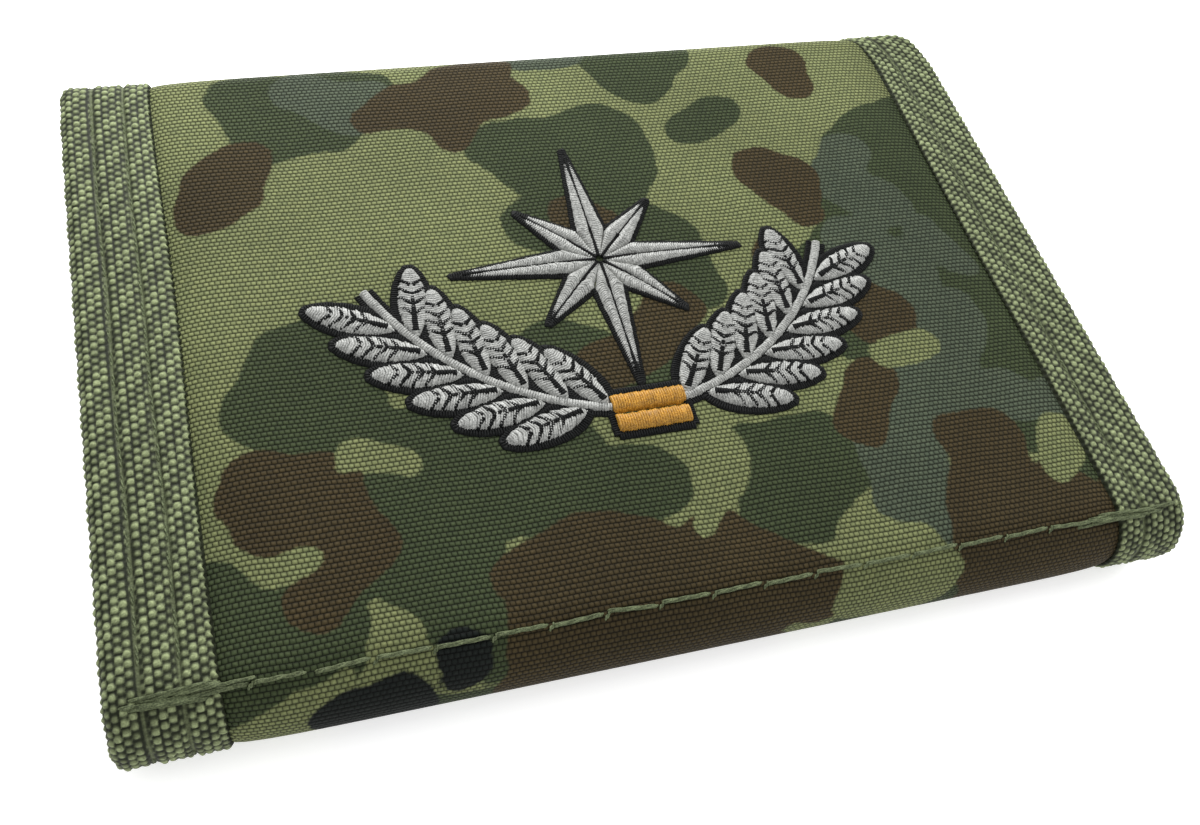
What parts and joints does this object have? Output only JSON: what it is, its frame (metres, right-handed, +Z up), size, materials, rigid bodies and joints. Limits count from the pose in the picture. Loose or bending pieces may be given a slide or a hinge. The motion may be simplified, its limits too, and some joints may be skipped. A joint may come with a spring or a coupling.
{
  "type": "trifold wallet",
  "caption": "Closed trifold wallet of printed woven cloth with taped side edges, an embroidered middle panel, card pockets, a window pocket and a zipped coin pocket.",
  "frame": {"origin": "middle of the closed wallet's footprint, on the surface it lies on", "axes": "+X along the fold lines, +Y from the outer fold to the inner fold, +Z up through the stacked panels"},
  "size_m": [0.128, 0.0931, 0.0134],
  "materials": {
    "printed_cloth": "woven nylon with a printed blotch pattern",
    "lining_cloth": "plain woven nylon",
    "pocket_cloth": "woven nylon",
    "pocket_edging": "folded woven tape",
    "binding_tape": "coarse knobbly woven tape",
    "hook_tape": "moulded hooks on a woven strip",
    "loop_tape": "brushed loops on a woven strip",
    "sewing_thread": "twisted polyester thread",
    "dark_thread": "satin stitch",
    "silver_thread": "satin stitch",
    "tie_thread": "satin stitch",
    "window_film": "clear flexible film",
    "zip_tape": "fine woven tape",
    "zip_teeth": "moulded teeth",
    "zip_metal": "plated, lightly worn"
  },
  "bodies": {
    "outer_flap": {"coin_pocket_front": "pocket_cloth", "coin_pocket_seam_strip": "lining_cloth", "hook_strip": "hook_tape", "outer_flap_end_tape": "binding_tape", "outer_flap_left_tape": "binding_tape", "outer_flap_lining": "lining_cloth", "outer_flap_right_tape": "binding_tape", "outer_flap_sewing": "sewing_thread", "outer_flap_shell": "printed_cloth", "zip_stops": "zip_metal", "zip_tape_far": "zip_tape", "zip_tape_near": "zip_tape", "zip_teeth_far": "zip_teeth", "zip_teeth_near": "zip_teeth"},
    "outer_spine": {"outer_spine_left_tape": "binding_tape", "outer_spine_lining": "lining_cloth", "outer_spine_right_tape": "binding_tape", "outer_spine_sewing": "sewing_thread", "outer_spine_shell": "printed_cloth"},
    "middle_panel": {"card_pocket_1": "pocket_cloth", "card_pocket_1_edging": "pocket_edging", "card_pocket_2": "pocket_cloth", "card_pocket_2_edging": "pocket_edging", "card_pocket_3": "pocket_cloth", "card_pocket_3_edging": "pocket_edging", "cross_seam_stitches": "sewing_thread", "embroidery_border": "dark_thread", "embroidery_sprig_left": "silver_thread", "embroidery_sprig_right": "silver_thread", "embroidery_star": "silver_thread", "embroidery_tie": "tie_thread", "middle_panel_left_tape": "binding_tape", "middle_panel_lining": "lining_cloth", "middle_panel_right_tape": "binding_tape", "middle_panel_sewing": "sewing_thread", "middle_panel_shell": "printed_cloth"},
    "inner_spine": {"inner_spine_left_tape": "binding_tape", "inner_spine_lining": "lining_cloth", "inner_spine_right_tape": "binding_tape", "inner_spine_sewing": "sewing_thread", "inner_spine_shell": "printed_cloth"},
    "inner_flap": {"inner_flap_end_tape": "binding_tape", "inner_flap_left_tape": "binding_tape", "inner_flap_lining": "lining_cloth", "inner_flap_right_tape": "binding_tape", "inner_flap_sewing": "sewing_thread", "inner_flap_shell": "printed_cloth", "loop_strip": "loop_tape", "window_film": "window_film", "window_frame": "pocket_cloth"},
    "zip_slider": {"zip_pull": "zip_metal", "zip_slider": "zip_metal"}
  },
  "joints": [
    {"name": "outer_fold", "type": "hinge", "parent": "outer_flap", "child": "outer_spine", "pos_m": [0, -0.04442, 0.00183], "axis": [1, 0, 0], "range_deg": [0, 90]},
    {"name": "outer_fold_panel_side", "type": "hinge", "parent": "outer_spine", "child": "middle_panel", "pos_m": [0, -0.04442, 0.01067], "axis": [1, 0, 0], "range_deg": [0, 90]},
    {"name": "inner_fold", "type": "hinge", "parent": "middle_panel", "child": "inner_spine", "pos_m": [0, 0.04511, 0.01136], "axis": [1, 0, 0], "range_deg": [0, 45]},
    {"name": "inner_fold_flap_side", "type": "hinge", "parent": "inner_spine", "child": "inner_flap", "pos_m": [0, 0.04511, 0.00584], "axis": [1, 0, 0], "range_deg": [0, 45]},
    {"name": "zip_travel", "type": "slide", "parent": "outer_flap", "child": "zip_slider", "axis": [1, 0, 0], "range_m": [0, 0.076]}
  ],
  "couplings": [
    {"joint": "outer_fold_panel_side", "follows": "outer_fold", "ratio": 1},
    {"joint": "inner_fold", "follows": "outer_fold", "ratio": 0.5},
    {"joint": "inner_fold_flap_side", "follows": "outer_fold", "ratio": 0.5}
  ]
}
